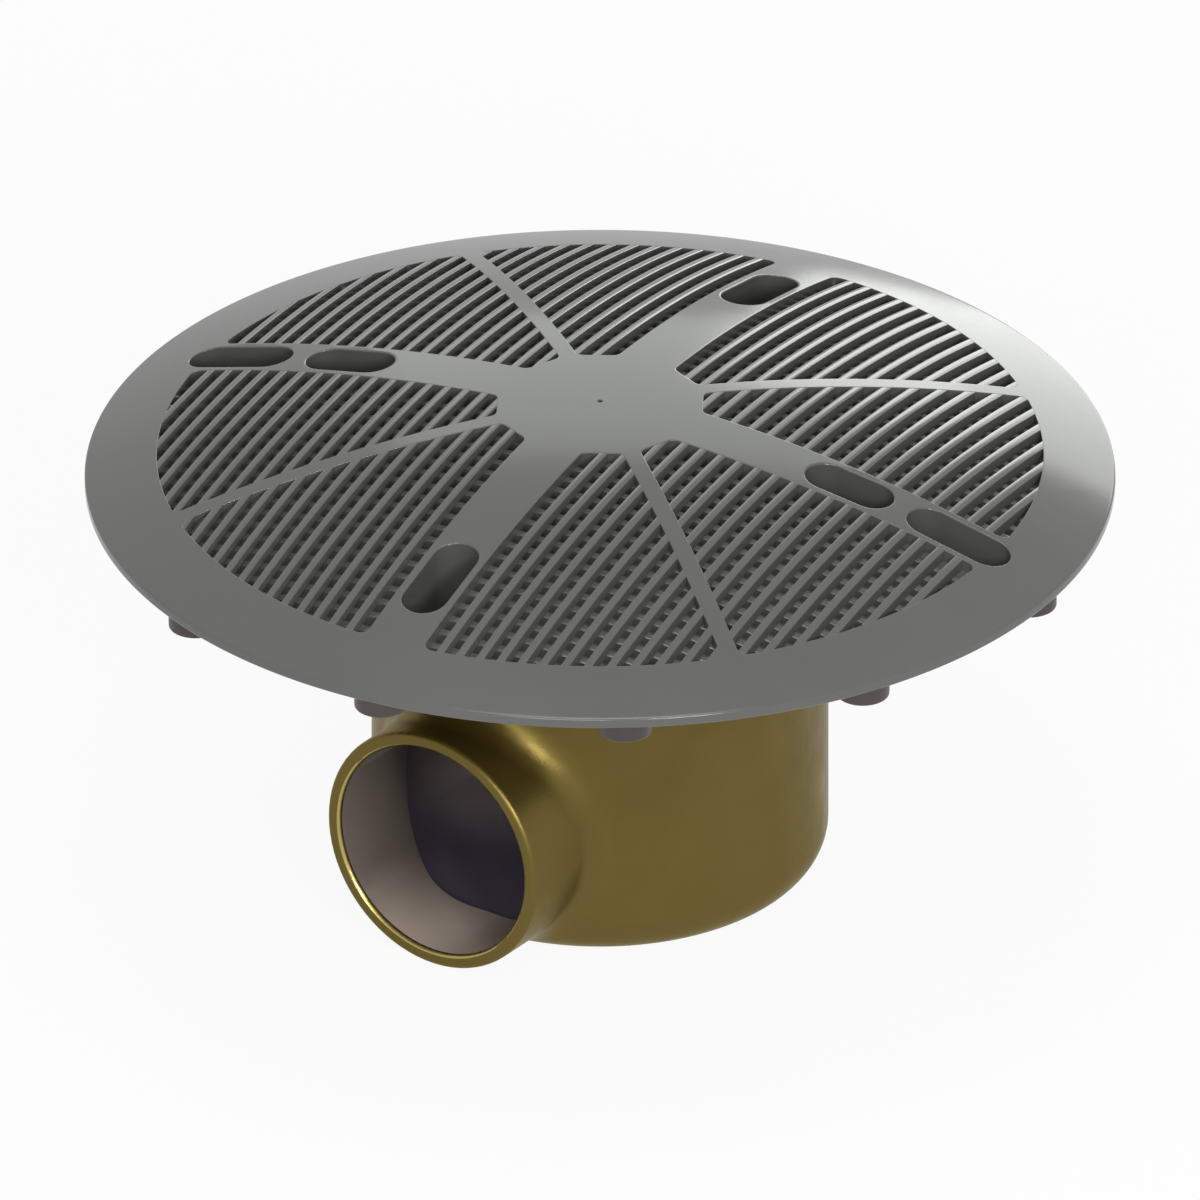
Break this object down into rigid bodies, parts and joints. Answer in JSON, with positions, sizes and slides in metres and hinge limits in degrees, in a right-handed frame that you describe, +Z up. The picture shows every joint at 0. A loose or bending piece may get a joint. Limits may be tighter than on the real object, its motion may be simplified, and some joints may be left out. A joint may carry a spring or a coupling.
{
  "type": "pool main drain",
  "caption": "Pool main drain: a domed round plastic grille cover screwed to a cast brass sump with a side pipe outlet.",
  "frame": {"origin": "centre of the cast body's flat underside", "axes": "+Z up through the dome; X and Y along the cover's two wide arms; the outlet points 8.1 degrees from -Y towards -X"},
  "size_m": [0.25, 0.25, 0.1253],
  "materials": {
    "cover_plastic": "smooth satin grey ABS",
    "cast_brass": "fine sand-cast, dull olive gold",
    "stainless_steel": "turned"
  },
  "bodies": {
    "root": {"cover_grille": "cover_plastic", "drain_body": "cast_brass", "cover_screw_right": "stainless_steel", "cover_screw_left": "stainless_steel", "screw_washer_right": "stainless_steel", "screw_washer_left": "stainless_steel"}
  },
  "joints": []
}
